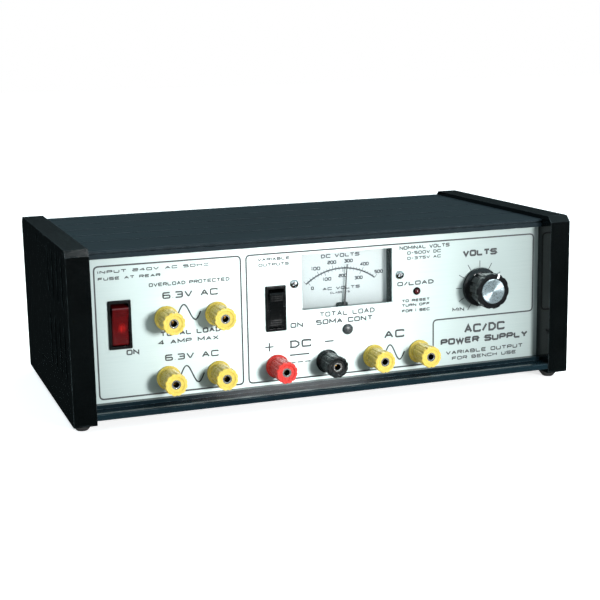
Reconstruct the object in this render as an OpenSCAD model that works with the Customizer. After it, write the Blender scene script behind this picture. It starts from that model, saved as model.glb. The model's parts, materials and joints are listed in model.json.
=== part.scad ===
// Bench power supply with low-voltage AC, DC and AC outputs, a moving-coil volts meter,
// two rocker switches and a rotary volts control.
// Millimetres, +Z up, front towards -Y, origin centred under the feet.

/* [Case] */
// Overall width across the side cheeks
case_w = 346; // [330:1:380]
// Height of the side cheeks
case_h = 110; // [110:1:130]
// Depth of the side cheeks
case_d = 178.5; // [175:0.5:240]
// Thickness of one side cheek
cheek_t = 14.7; // [13:0.1:20]
// Chamfer on the upper corners of the cheeks
cheek_cut = 4; // [1:0.5:6]
// Setback of the front panel behind the cheek fronts
front_set = 17; // [15:0.5:19]
// Setback of the rear panel from the cheek backs
rear_set = 9; // [8:0.5:14]
// Height of one foot
foot_h = 5; // [3:0.5:12]
// Pitch of the grooves along the top cover
groove_pitch = 29; // [20:1:36]

/* [Binding posts] */
// Length of a post in front of the panel
post_len = 20; // [18:0.5:24]
// Radius over the fluted rim of a head
head_r = 7.25; // [6.5:0.05:8]
// Number of flutes round a head
head_flutes = 12; // [8:1:16]
// Radius of the plug socket
socket_r = 2.05; // [2:0.01:2.2]
// Radius of the stud
stud_r = 3; // [2.5:0.05:3.2]

/* [Switches] */
// Width and height of the mains switch bezel
mains_bezel = [14.7, 31.2];
// Width and height of the output switch bezel
output_bezel = [14, 30.2];
// Angle between the two positions of a rocker
rocker_swing = 16; // [10:1:24]

/* [Meter] */
// Width of the dial window
window_w = 64.4; // [50:0.1:70]
// Height of the dial window
window_h = 36.8; // [30:0.1:40]
// Depth of the dial behind the panel face
dial_depth = 10; // [8:0.5:12]
// Needle position clockwise from upright
needle_angle = 4.5; // [-38:1:38]
// Needle length from its pivot
needle_len = 42.5; // [36:0.5:46]

/* [Volts control] */
// Radius of the knob skirt
skirt_r = 13.5; // [12:0.1:16]
// Radius of the front rim of the knob
rim_r = 12.2; // [11:0.1:14]
// Number of scallops round the knob
knob_lobes = 10; // [6:1:16]
// Pointer position clockwise from upright
knob_angle = 22; // [-150:1:150]
// Radius of the control shaft
shaft_r = 3; // [2.5:0.1:3.2]

/* [Hidden] */
$fn = 48;
panel_t = 2;
run_gap = 0.05;
inner_w = case_w - 2 * cheek_t;
panel_w = inner_w + 3;
rear_y = case_d - rear_set;
nose = post_len - front_set;
shift_y = -(case_d - nose) / 2;
cover_top = case_h - 2.8;
lip_top = cover_top - 5.5;
skin_top = cover_top - 2.3;
tray_z = 9.5;
screw_y = 112;
screw_z = [103, 19];
screw_r = 1.9;

mains_pos = [-138.2, 58.8];
output_pos = [-35.3, 60.2];
window_pos = [15.3, 75.7];
pivot_pos = [14.9, 41.8];
meter_screw_x = [-22.2, 52.9];
meter_screw_z = 75.4;
lamp_pos = [65.5, 63.4];
knob_pos = [113.2, 62.5];
inlet_pos = [-104, 46];
inlet_screw_x = 20;
posts = [[-108.3, 60.4], [-75.1, 60.4], [-108.3, 21.5], [-75.1, 21.5],
    [-35.1, 21.5], [0.1, 21.5], [33.7, 21.5], [67.2, 21.5]];
yellow_posts = [0, 1, 2, 3, 6, 7];
collar_l = 4;
insert_l = 19.3;
step_l = 12.4;
core_pos = [-85, 105];
board_pos = [20, 125];

black_plastic = [0.06, 0.06, 0.07];
anodised = [0.12, 0.14, 0.16];
silver = [0.82, 0.85, 0.85];
steel = [0.65, 0.66, 0.68];
brass = [0.78, 0.62, 0.3];
yellow = [0.93, 0.8, 0.35];
red = [0.75, 0.12, 0.1];
copper = [0.72, 0.4, 0.2];

// Case frame to part frame
module place() translate([0, shift_y, foot_h]) children();

// Local +Z out of the front panel, +Y up
module face(p) translate([p[0], front_set, p[1]]) rotate([90, 0, 0]) children();

// Local +Z out of the rear panel, +Y up
module rear_face(p) translate([p[0], rear_y, p[1]]) rotate([90, 0, 180]) children();

// Profile drawn as (Y, Z), run along X
module run_x(l) rotate([90, 0, 90]) linear_extrude(height = l, center = true) children();

module box(lo, hi) translate(lo) cube([hi[0] - lo[0], hi[1] - lo[1], hi[2] - lo[2]]);

module round_rect(w, h, r) {
    square([w - 2 * r, h], center = true);
    square([w, h - 2 * r], center = true);
    for (x = [-1, 1], y = [-1, 1]) translate([x * (w / 2 - r), y * (h / 2 - r)]) circle(r);
}

// Slot with round ends, upright, cut along X
module side_slot(y, z0, z1, w, d) {
    translate([-d, y - w / 2, z0 + w / 2]) cube([2 * d, w, z1 - z0 - w]);
    for (z = [z0 + w / 2, z1 - w / 2])
        translate([0, y, z]) rotate([0, 90, 0]) cylinder(r = w / 2, h = 2 * d, center = true);
}

module top_cover() color(anodised) place() difference() {
    run_x(inner_w) polygon([
        [12.5, lip_top], [12.5, lip_top + 2.9], [13.7, lip_top + 2.9], [13.7, lip_top + 4.1],
        [12.2, lip_top + 4.1], [12.2, cover_top - 0.6], [12.8, cover_top],
        [case_d - 0.9, cover_top], [case_d - 0.3, cover_top - 0.6], [case_d - 0.3, lip_top + 2.9],
        [rear_y + 4.5, lip_top + 2.9], [rear_y + 4.5, lip_top],
        [rear_y + 0.15, lip_top], [rear_y + 0.15, lip_top + 2.5],
        [rear_y - panel_t - 0.15, lip_top + 2.5], [rear_y - panel_t - 0.15, lip_top],
        [rear_y - 6.5, lip_top], [rear_y - 6.5, skin_top],
        [screw_y + 4.5, skin_top], [screw_y + 4.5, screw_z[0] - 4.1],
        [screw_y - 4.5, screw_z[0] - 4.1], [screw_y - 4.5, skin_top],
        [front_set + 6, skin_top], [front_set + 6, lip_top],
        [front_set + panel_t + 0.15, lip_top], [front_set + panel_t + 0.15, lip_top + 2.5],
        [front_set - 0.15, lip_top + 2.5], [front_set - 0.15, lip_top]]);
    for (i = [0:4]) translate([0, 50 + groove_pitch * i, cover_top])
        cube([case_w, 2.4, 1.6], center = true);
    translate([0, screw_y, screw_z[0]]) rotate([0, 90, 0]) cylinder(r = screw_r, h = case_w, center = true);
}

module bottom_cover() color(anodised) place() difference() {
    run_x(inner_w) polygon([
        [1.4, 2.8], [0.8, 3.4], [0.8, 6.4], [1.4, 7], [12.5, 7], [12.5, tray_z],
        [front_set - 0.15, tray_z], [front_set - 0.15, 5],
        [front_set + panel_t + 0.15, 5], [front_set + panel_t + 0.15, tray_z],
        [front_set + 6, tray_z], [front_set + 6, 5.1],
        [rear_y - 6.5, 5.1], [rear_y - 6.5, tray_z],
        [rear_y - panel_t - 0.15, tray_z], [rear_y - panel_t - 0.15, 5],
        [rear_y + 0.15, 5], [rear_y + 0.15, tray_z],
        [rear_y + 4.5, tray_z], [rear_y + 4.5, 7], [case_d - 0.9, 7], [case_d - 0.3, 6.4],
        [case_d - 0.3, 3.4], [case_d - 0.9, 2.8], [rear_y + 5, 2.8], [rear_y + 5, 4.6],
        [rear_y + 1, 4.6], [rear_y + 1, 2.8], [11.5, 2.8], [11.5, 4.6], [3.5, 4.6], [3.5, 2.8]]);
    for (x = [-6:6], y = [60, 112]) translate([x * 20, y, 4]) {
        cube([4, 24, 4], center = true);
        for (s = [-12, 12]) translate([0, s, 0]) cylinder(r = 2, h = 4, center = true);
    }
}

// Right-hand cheek, with its own blind flutes, screw seats and inner pockets
module cheek() difference() {
    translate([case_w / 2 - cheek_t / 2, 0, 0]) run_x(cheek_t) polygon([
        [1, 0], [0, 1], [0, case_h - cheek_cut], [cheek_cut, case_h],
        [case_d - cheek_cut, case_h], [case_d, case_h - cheek_cut], [case_d, 1], [case_d - 1, 0]]);
    for (i = [0:3]) translate([case_w / 2, 0, 0]) {
        side_slot(16.3 + 17.4 * i, 73, 104, 5.5, 2.4);
        side_slot(16.3 + 17.4 * i, 25, 61, 5.5, 2.4);
    }
    for (z = screw_z) translate([case_w / 2, screw_y, z]) rotate([0, 90, 0]) {
        cylinder(r = screw_r + 0.05, h = 2 * case_w, center = true);
        cylinder(r = 3.6, h = 4.4, center = true);
    }
    difference() {
        box([inner_w / 2 - 1, 26, 14], [case_w / 2 - 4.6, 158, 96]);
        box([inner_w / 2 - 2, 90, 13], [case_w / 2, 94, 97]);
        translate([case_w / 2, screw_y, screw_z[1]]) rotate([0, 90, 0])
            cylinder(r = 5.5, h = 40, center = true);
    }
    for (y = [front_set - 0.15, rear_y - panel_t - 0.15])
        box([inner_w / 2 - 1, y, 4.8], [panel_w / 2 + 0.2, y + panel_t + 0.3, cover_top - 2.8]);
    for (y = [13, case_d - 13]) translate([(case_w - cheek_t) / 2, y, -1]) cylinder(r = 1.5, h = 9);
}

module right_cheek() color(black_plastic) place() cheek();

module left_cheek() color(black_plastic) place() mirror([1, 0, 0]) cheek();

module front_panel() color(silver) place() difference() {
    box([-panel_w / 2, front_set, 5.1], [panel_w / 2, front_set + panel_t, lip_top + 2.4]);
    for (p = posts) face(p) cylinder(r = 4, h = 10, center = true);
    face(mains_pos) cube([12.8, 29.2, 10], center = true);
    face(output_pos) cube([12.4, 28.4, 10], center = true);
    face(window_pos) cube([window_w, window_h, 10], center = true);
    for (x = meter_screw_x) face([x, meter_screw_z]) cylinder(r = 1.6, h = 10, center = true);
    face(pivot_pos) cylinder(r = 2 + run_gap, h = 10, center = true);
    face(lamp_pos) cylinder(r = 2.35, h = 10, center = true);
    face(knob_pos) cylinder(r = 5, h = 10, center = true);
}

module rear_panel() color(silver) place() difference() {
    box([-panel_w / 2, rear_y - panel_t, 5.1], [panel_w / 2, rear_y, lip_top + 2.4]);
    rear_face(inlet_pos) cube([28, 32, 10], center = true);
    for (x = [-1, 1]) rear_face(inlet_pos) translate([x * inlet_screw_x, 0, 0])
        cylinder(r = 1.6, h = 10, center = true);
    for (i = [0:11]) rear_face([20 + 9 * i, 56]) {
        cube([3.6, 36, 10], center = true);
        for (s = [-18, 18]) translate([0, s, 0]) cylinder(r = 1.8, h = 10, center = true);
    }
}

module cheek_screws() color(steel) place()
    for (s = [0, 1], z = screw_z) mirror([s, 0, 0]) translate([case_w / 2 - 2.2, screw_y, z])
        rotate([0, -90, 0]) difference() {
            union() {
                rotate_extrude() polygon([[0, -1.6], [1.6, -1.5], [3, -0.7], [3.1, 0], [0, 0]]);
                cylinder(r = screw_r, h = 21);
            }
            for (a = [0, 90]) rotate([0, 0, a]) translate([0, 0, -1.4]) cube([3.6, 0.8, 1.4], center = true);
        }

module feet() color(black_plastic) place()
    for (x = [-1, 1], y = [13, case_d - 13]) translate([x * (case_w - cheek_t) / 2, y, 0])
        rotate_extrude() polygon([
            [0, -foot_h + 1.2], [2.2, -foot_h + 1.2], [2.2, -foot_h], [3.4, -foot_h],
            [3.9, -foot_h + 0.5], [6.9, -0.8], [6.9, 0], [1.4, 0], [1.4, 5], [0, 5]]);

module chassis_plate() color(steel) place() difference() {
    union() {
        box([-inner_w / 2, front_set + panel_t + 0.2, tray_z],
            [inner_w / 2, rear_y - panel_t - 0.2, tray_z + 1.5]);
        for (s = [0, 1]) mirror([s, 0, 0]) box([inner_w / 2 - 1.5, 26, tray_z], [inner_w / 2, 158, 30]);
    }
    translate([0, screw_y, screw_z[1]]) rotate([0, 90, 0]) cylinder(r = screw_r, h = case_w, center = true);
    for (x = [-6:6]) translate([x * 20, 66, 10]) cube([4, 12, 8], center = true);
}

// Switch housing, centred on its bezel
module switch_body(b) difference() {
    union() {
        linear_extrude(height = 1.1) round_rect(b[0], b[1], 0.8);
        translate([0, 0, 1.1]) linear_extrude(height = 0.5) round_rect(b[0] - 0.8, b[1] - 0.8, 0.6);
        translate([0, 0, -11]) cube([b[0] - 2.2, b[1] - 2.4, 22], center = true);
    }
    cube([b[0] - 3.4, b[1] - 4, 22], center = true);
    translate([0, 0, -4.5]) rotate([0, 90, 0]) cylinder(r = 1.5 + run_gap, h = b[0] - 2.6, center = true);
}

// Rocker about its pivot, at the "lower end pressed" position
module rocker(b) {
    w = b[0] - 4.2;
    h = b[1] / 2 - 3.35;
    a = rocker_swing / 2;
    translate([0, 0, -4.5]) rotate([a, 0, 0]) {
        difference() {
            rotate([90, 0, 90]) linear_extrude(height = w, center = true) polygon([
                [-h + 1.5, -2.5], [-h, -1], [-h, 5.6 + h * tan(a) - 0.7], [-h + 0.7, 5.6 + h * tan(a)],
                [0, 5.6], [h - 0.7, 5.6 + h * tan(a)], [h, 5.6 + h * tan(a) - 0.7], [h, -1], [h - 1.5, -2.5]]);
            for (s = [-1, 1], i = [0:2])
                translate([0, s * (h - 2 - 1.5 * i), 5.6 + (h - 2 - 1.5 * i) * tan(a)])
                    rotate([s * a, 0, 0]) cube([w - 2, 0.6, 0.8], center = true);
        }
        for (s = [-1, 1]) translate([s * (w / 2 + 0.4), 0, 0]) rotate([0, 90, 0])
            cylinder(r = 1.5, h = 0.8, center = true);
    }
}

module mains_switch_body() color(black_plastic) place() face(mains_pos) switch_body(mains_bezel);

module mains_rocker() color(red) place() face(mains_pos) rocker(mains_bezel);

module output_switch_body() color(black_plastic) place() face(output_pos) switch_body(output_bezel);

module output_rocker() color([0.1, 0.1, 0.11]) place() face(output_pos) rocker(output_bezel);

module switch_tabs() color(brass) place()
    for (p = [mains_pos, output_pos], y = [-8, 0, 8])
        face(p) translate([0, y, -26.5]) cube([4.8, 0.8, 9], center = true);

module meter_case() color(black_plastic) place() difference() {
    union() {
        box([window_pos[0] - 36.7, front_set + panel_t, 32], [window_pos[0] + 36.7, 52, 98.5]);
        box([meter_screw_x[0] - 5, front_set + panel_t, meter_screw_z - 6],
            [meter_screw_x[1] + 5, front_set + panel_t + 4, meter_screw_z + 6]);
    }
    box([window_pos[0] - window_w / 2 - 0.1, 18, 50],
        [window_pos[0] + window_w / 2 + 0.1, front_set + dial_depth, window_pos[1] + window_h / 2 + 0.1]);
    box([window_pos[0] - 34.8, front_set + dial_depth, 33.5], [window_pos[0] + 34.8, 50.5, 97]);
    box([window_pos[0] - 34.8, 18, 33.5], [window_pos[0] + 34.8, front_set + dial_depth + 1, 52]);
    box([window_pos[0] - 34.8, 18, 40], [window_pos[0] + 34.8, front_set + panel_t + 1.6, 96.5]);
    for (x = meter_screw_x) face([x, meter_screw_z]) cylinder(r = 1.52, h = 20, center = true);
}

module meter_window() color([0.85, 0.93, 0.93, 0.3]) place()
    box([window_pos[0] - 34.6, front_set + panel_t + 0.05, 54.5],
        [window_pos[0] + 34.6, front_set + panel_t + 1.5, 96.4]);

module meter_dial() color([0.93, 0.95, 0.93]) place()
    box([window_pos[0] - 34.6, front_set + dial_depth + 0.05, 52.2],
        [window_pos[0] + 34.6, front_set + dial_depth + 0.9, 96.8]);

module meter_needle() color([0.05, 0.05, 0.05]) place() face(pivot_pos) rotate([0, 0, -needle_angle])
    difference() {
        union() {
            translate([0, 0, -8.1]) linear_extrude(height = 0.5) polygon([
                [-0.9, 0], [-0.22, needle_len], [0.22, needle_len], [0.9, 0], [1.6, -7], [-1.6, -7]]);
            translate([0, 0, -11.5]) cylinder(r = 2.4, h = 4);
            translate([0, -6.2, -8.6]) cylinder(r = 1.7, h = 1.5);
        }
        translate([0, 0, -12]) cylinder(r = 0.8 + run_gap, h = 6);
    }

module meter_movement() color([0.08, 0.08, 0.08]) place() face(pivot_pos) difference() {
    union() {
        translate([0, -1, -23]) cube([36, 14, 18], center = true);
        translate([0, 0, -14.5]) cylinder(r = 0.8, h = 7.9);
        for (s = [-1, 1]) translate([s * 6.4, 4, -12]) cube([2, 9, 5], center = true);
        translate([0, 9.6, -9.7]) linear_extrude(height = 0.8) round_rect(14.8, 6, 1.6);
        translate([0, 13.9, -9.7]) linear_extrude(height = 0.8) round_rect(8, 5.4, 1.2);
        for (s = [-1, 1]) translate([s * 6.4, 8, -9.6]) cube([2, 2, 1], center = true);
    }
    for (s = [-1, 1]) translate([s * 13, -1, -20]) cylinder(r = 2, h = 20);
}

module zero_screw() color([0.45, 0.46, 0.47]) place() face(pivot_pos) difference() {
    union() {
        rotate_extrude() polygon(concat([[0, 0.1], [3.6, 0.1], [3.6, 0.7]],
            [for (a = [10:10:90]) [3.6 * cos(a), 0.7 + 2.1 * sin(a)]]));
        translate([0, 0, -5.5]) cylinder(r = 2, h = 5.7);
    }
    translate([0, 0, 3.1]) rotate([0, 0, 35]) cube([0.9, 9, 1.8], center = true);
}

// Pan-head screw with its head on the local origin plane, shank along -Z
module pan_screw(l) difference() {
    union() {
        rotate_extrude() polygon(concat([[0, 0], [2.9, 0], [2.9, 0.6]],
            [for (a = [15:15:90]) [2.9 * cos(a), 0.6 + 1.4 * sin(a)]]));
        translate([0, 0, -l]) cylinder(r = 1.5, h = l + 0.1);
    }
    for (a = [20, 110]) rotate([0, 0, a]) translate([0, 0, 1.7]) cube([3.6, 0.8, 1.6], center = true);
}

module panel_screws() color(steel) place() {
    for (x = meter_screw_x) face([x, meter_screw_z]) pan_screw(8);
    for (s = [-1, 1]) rear_face(inlet_pos) translate([s * inlet_screw_x, 0, 2.4]) pan_screw(8);
}

module overload_lamp() color([0.5, 0.03, 0.03]) place() face(lamp_pos) rotate_extrude()
    polygon(concat([[0, -6], [1.8, -6], [1.8, 0.4]],
        [for (a = [10:10:90]) [1.8 * cos(a), 0.4 + 1.6 * sin(a)]]));

module lamp_bezel() color(black_plastic) place() face(lamp_pos) rotate_extrude() polygon([
    [1.85, -5], [2.3, -5], [2.3, 0], [2.65, 0], [2.65, 0.4], [2.45, 0.9], [2.1, 0.9], [1.85, 0.6]]);

module knob_body() color(black_plastic) place() face(knob_pos) rotate([0, 0, -knob_angle]) difference() {
    rotate_extrude() polygon([
        [8.8, 0.6], [skirt_r - 0.4, 0.6], [skirt_r, 1], [skirt_r - 0.3, 2.6], [skirt_r - 1.3, 3.4], [11, 4],
        [10.8, 14], [rim_r - 0.3, 15.4], [rim_r, 15.9], [rim_r, 18.8], [rim_r - 0.8, 19.5],
        [8.7, 19.5], [8.5, 19.3], [8.5, 18.6], [shaft_r, 18.6], [shaft_r, 6], [8.8, 5.2]]);
    for (i = [0:knob_lobes - 1]) rotate([0, 0, i * 360 / knob_lobes]) {
        translate([rim_r + 1.6, 0, 13.6]) cylinder(r = 2.3, h = 7);
        translate([12, 0, 4]) cylinder(r = 1.7, h = 10);
    }
}

module knob_cap() color([0.8, 0.81, 0.82]) place() face(knob_pos) rotate([0, 0, -knob_angle])
    rotate_extrude() polygon([[0, 18.7], [8.4, 18.7], [8.4, 19.6], [8.1, 20], [7.2, 20], [0, 19.7]]);

module control_shaft() color(steel) place() face(knob_pos) translate([0, 0, -47])
    cylinder(r = shaft_r, h = 65.4);

module shaft_nut() color(brass) place() face(knob_pos) difference() {
    cylinder(r = 7.5, h = 2.4, $fn = 6);
    translate([0, 0, -1]) cylinder(r = 5, h = 5);
}

module variac_base() color([0.25, 0.25, 0.26]) place() face(knob_pos) difference() {
    union() {
        translate([0, 0, -7]) cylinder(r = 34, h = 3);
        translate([0, 0, -7]) cylinder(r = 12, h = 5);
        translate([0, 0, -24]) cylinder(r = 5, h = 26.4);
        translate([0, 0, -24]) cylinder(r = 12, h = 17);
    }
    translate([0, 0, -25]) cylinder(r = shaft_r + run_gap, h = 30);
}

module variac_winding() color(copper) place() face(knob_pos) translate([0, 0, -42]) rotate_extrude()
    translate([27.5, 17]) round_rect(18, 34, 4);

module brush_arm() color(brass) place() face(knob_pos) rotate([0, 0, -knob_angle]) difference() {
    union() {
        translate([0, 0, -46.5]) cylinder(r = 6, h = 6);
        translate([0, 15, -45.3]) cube([7, 26, 1.6], center = true);
        translate([0, 26.5, -44.4]) cylinder(r = 3, h = 2);
    }
    translate([0, 0, -48]) cylinder(r = shaft_r, h = 9);
}

module terminal_studs() color(brass) place() for (p = posts) face(p) difference() {
    translate([0, 0, -16]) cylinder(r = stud_r, h = 28);
    translate([0, 0, collar_l + 0.6]) cylinder(r = socket_r, h = 20);
}

module terminal_nuts() color(steel) place() for (p = posts) face(p) difference() {
    translate([0, 0, -6]) cylinder(r = 5.8, h = 3.4, $fn = 6);
    translate([0, 0, -7]) cylinder(r = stud_r, h = 8);
}

module collar() rotate_extrude() polygon([
    [stud_r, -2.5], [3.95, -2.5], [3.95, 0], [7.9, 0], [7.9, 1.2], [7.5, 1.7], [7, 1.9], [7, 3.7],
    [6.7, collar_l], [stud_r, collar_l]]);

module yellow_collars() color(yellow) place() for (i = yellow_posts) face(posts[i]) collar();

module red_collar() color(red) place() face(posts[4]) collar();

module black_collar() color(black_plastic) place() face(posts[5]) collar();

// Turning grip of a post, around the metal insert
module head() difference() {
    rotate_extrude() polygon([
        [4.2 + run_gap, collar_l + 0.3], [6.5, collar_l + 0.3], [6.8, collar_l + 0.8], [6.7, 12.4],
        [head_r - 0.1, 15.2], [head_r, 15.7], [head_r, post_len - 0.6], [head_r - 0.5, post_len],
        [5.6, post_len], [4.7, insert_l], [3 + run_gap, insert_l], [3 + run_gap, 13.1],
        [4.2 + run_gap, 13.1]]);
    for (i = [0:head_flutes - 1]) rotate([0, 0, i * 360 / head_flutes]) {
        translate([head_r + 0.35, 0, 12]) cylinder(r = 1, h = 10, $fn = 24);
        translate([7.4, 0, collar_l]) cylinder(r = 0.95, h = 8.6, $fn = 24);
    }
}

module yellow_head_1() color(yellow) place() face(posts[0]) head();

module yellow_head_2() color(yellow) place() face(posts[1]) head();

module yellow_head_3() color(yellow) place() face(posts[2]) head();

module yellow_head_4() color(yellow) place() face(posts[3]) head();

module red_head() color(red) place() face(posts[4]) head();

module black_head() color(black_plastic) place() face(posts[5]) head();

module yellow_head_5() color(yellow) place() face(posts[6]) head();

module yellow_head_6() color(yellow) place() face(posts[7]) head();

// Metal insert that screws along the stud and carries the plug socket
module insert(i) place() face(posts[i]) rotate_extrude() polygon([
    [stud_r + run_gap, collar_l + 0.6], [4.2, collar_l + 0.6], [4.2, 13], [3, 13], [3, insert_l],
    [socket_r + 0.25, insert_l], [socket_r, insert_l - 0.25], [socket_r, step_l],
    [stud_r + run_gap, step_l]]);

module insert_1() color(brass) insert(0);

module insert_2() color(brass) insert(1);

module insert_3() color(brass) insert(2);

module insert_4() color(brass) insert(3);

module insert_5() color(brass) insert(4);

module insert_6() color(brass) insert(5);

module insert_7() color(brass) insert(6);

module insert_8() color(brass) insert(7);

module transformer_core() color([0.3, 0.3, 0.32]) place() translate([core_pos[0], core_pos[1], 51])
    difference() {
        cube([96, 36, 80], center = true);
        for (s = [-1, 1]) translate([s * 24, 0, 0]) cube([16, 40, 48], center = true);
        for (x = [-1, 1], z = [-1, 1]) translate([x * 42, 0, z * 34]) rotate([90, 0, 0])
            cylinder(r = 2.05, h = 50, center = true);
    }

module transformer_winding() color(copper) place() translate([core_pos[0], core_pos[1], 51])
    difference() {
        linear_extrude(height = 47, center = true) round_rect(63, 66, 6);
        cube([32.2, 36.2, 60], center = true);
    }

module transformer_bolts() color(steel) place()
    for (x = [-1, 1], z = [-1, 1]) translate([core_pos[0] + x * 42, core_pos[1], 51 + z * 34])
        rotate([90, 0, 0]) {
            cylinder(r = 2, h = 46, center = true);
            translate([0, 0, 18]) cylinder(r = 4, h = 3.2, $fn = 6);
        }

module board_xy() for (x = [-46, 46], y = [-28, 28])
    translate([board_pos[0] + x, board_pos[1] + y, 0]) children();

module circuit_board() color([0.1, 0.3, 0.18]) place() difference() {
    translate([board_pos[0], board_pos[1], 22.8]) cube([104, 68, 1.6], center = true);
    board_xy() translate([0, 0, 20]) cylinder(r = 1.6, h = 6);
}

module board_standoffs() color(brass) place() board_xy() {
    translate([0, 0, tray_z + 1.5]) cylinder(r = 3, h = 11);
    translate([0, 0, 20]) cylinder(r = 1.6, h = 5);
}

module capacitors() color([0.1, 0.15, 0.3]) place()
    for (c = [[-30, 5, 12, 42], [0, 5, 12, 42], [26, 10, 9, 30]])
        translate([board_pos[0] + c[0], board_pos[1] + c[1], 23.6]) cylinder(r = c[2], h = c[3]);

module blade_pins() {
    for (p = [[-7, 3.5], [7, 3.5], [0, 7.5]]) translate([p[0], p[1], -15]) cube([2, 4, 32], center = true);
}

module inlet_body() color(black_plastic) place() rear_face(inlet_pos) difference() {
    union() {
        linear_extrude(height = 2.4) round_rect(50, 34, 2);
        translate([0, 0, -12]) cube([27.6, 31.6, 24], center = true);
    }
    translate([0, 5.6, -14]) linear_extrude(height = 20) polygon([
        [-12.2, -8.4], [12.2, -8.4], [12.2, 4.6], [8.4, 8.4], [-8.4, 8.4], [-12.2, 4.6]]);
    translate([0, -9.9, -8]) cube([24.6, 7.8, 24], center = true);
    for (s = [-1, 1]) translate([s * inlet_screw_x, 0, 0]) cylinder(r = 1.55, h = 10, center = true);
    blade_pins();
}

module inlet_pins() color(brass) place() rear_face(inlet_pos) blade_pins();

module fuse_drawer() color([0.09, 0.09, 0.1]) place() rear_face(inlet_pos) translate([0, -9.9, 0])
    difference() {
        union() {
            translate([0, 0, -8.5]) cube([24, 7.2, 21], center = true);
            translate([0, 0, 2.9]) cube([24, 7.2, 2], center = true);
            translate([0, 2.6, 4.2]) cube([12, 1.6, 1.8], center = true);
        }
        translate([0, 1.6, -9]) cube([6.4, 6, 17], center = true);
    }

top_cover();
bottom_cover();
left_cheek();
right_cheek();
front_panel();
rear_panel();
cheek_screws();
feet();
chassis_plate();
mains_switch_body();
mains_rocker();
output_switch_body();
output_rocker();
switch_tabs();
meter_case();
meter_dial();
meter_needle();
meter_window();
panel_screws();
meter_movement();
zero_screw();
overload_lamp();
lamp_bezel();
knob_body();
knob_cap();
control_shaft();
shaft_nut();
variac_winding();
variac_base();
brush_arm();
terminal_studs();
terminal_nuts();
yellow_collars();
red_collar();
black_collar();
yellow_head_1();
yellow_head_2();
yellow_head_3();
yellow_head_4();
red_head();
black_head();
yellow_head_5();
yellow_head_6();
insert_1();
insert_2();
insert_3();
insert_4();
insert_5();
insert_6();
insert_7();
insert_8();
transformer_core();
transformer_winding();
transformer_bolts();
circuit_board();
capacitors();
board_standoffs();
inlet_body();
inlet_pins();
fuse_drawer();
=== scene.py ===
"""Bench power supply: finishes, printed graphics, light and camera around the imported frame."""
import json
from math import cos, pi, radians, sin

import bmesh
import bpy
from mathutils import Matrix, Vector

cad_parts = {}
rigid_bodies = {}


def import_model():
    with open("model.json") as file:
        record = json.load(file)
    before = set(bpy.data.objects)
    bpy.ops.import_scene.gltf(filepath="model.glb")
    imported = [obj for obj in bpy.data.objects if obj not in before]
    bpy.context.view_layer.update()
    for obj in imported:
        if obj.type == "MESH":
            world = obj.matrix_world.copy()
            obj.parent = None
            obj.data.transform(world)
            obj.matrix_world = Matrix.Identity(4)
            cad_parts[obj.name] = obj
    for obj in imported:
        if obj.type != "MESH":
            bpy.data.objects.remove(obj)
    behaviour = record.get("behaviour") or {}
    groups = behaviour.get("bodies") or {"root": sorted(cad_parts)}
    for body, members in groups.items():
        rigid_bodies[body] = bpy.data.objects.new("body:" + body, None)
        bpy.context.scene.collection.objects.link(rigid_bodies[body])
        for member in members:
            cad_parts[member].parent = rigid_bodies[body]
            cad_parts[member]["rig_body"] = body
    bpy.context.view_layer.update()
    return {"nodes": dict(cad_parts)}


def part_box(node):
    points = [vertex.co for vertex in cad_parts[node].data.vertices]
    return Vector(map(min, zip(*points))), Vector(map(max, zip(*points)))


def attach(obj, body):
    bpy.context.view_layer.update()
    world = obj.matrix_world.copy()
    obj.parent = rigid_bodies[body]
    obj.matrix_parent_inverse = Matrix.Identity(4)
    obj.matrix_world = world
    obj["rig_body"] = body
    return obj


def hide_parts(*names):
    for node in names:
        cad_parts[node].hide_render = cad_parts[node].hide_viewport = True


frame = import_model()
nodes = frame["nodes"]
scene = bpy.context.scene

# The case frame: millimetres, y = 0 at the front of the cheeks, z = 0 at their lower edge.
CASE_Y, CASE_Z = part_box("left_cheek")[0].y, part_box("left_cheek")[0].z
PANEL_Y = (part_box("front_panel")[0].y - CASE_Y) * 1000
DIAL_Y = (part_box("meter_dial")[0].y - CASE_Y) * 1000
NODE_SLOT = {n: o.material_slots[0].material.name.split(".")[0] for n, o in nodes.items()}


def P(x, y, z):
    """A point of the case frame, in metres in the row frame."""
    return Vector((x / 1000, CASE_Y + y / 1000, CASE_Z + z / 1000))


def middle(node):
    lo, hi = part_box(node)
    return (lo + hi) / 2


# ---------------------------------------------------------------- materials

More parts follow.
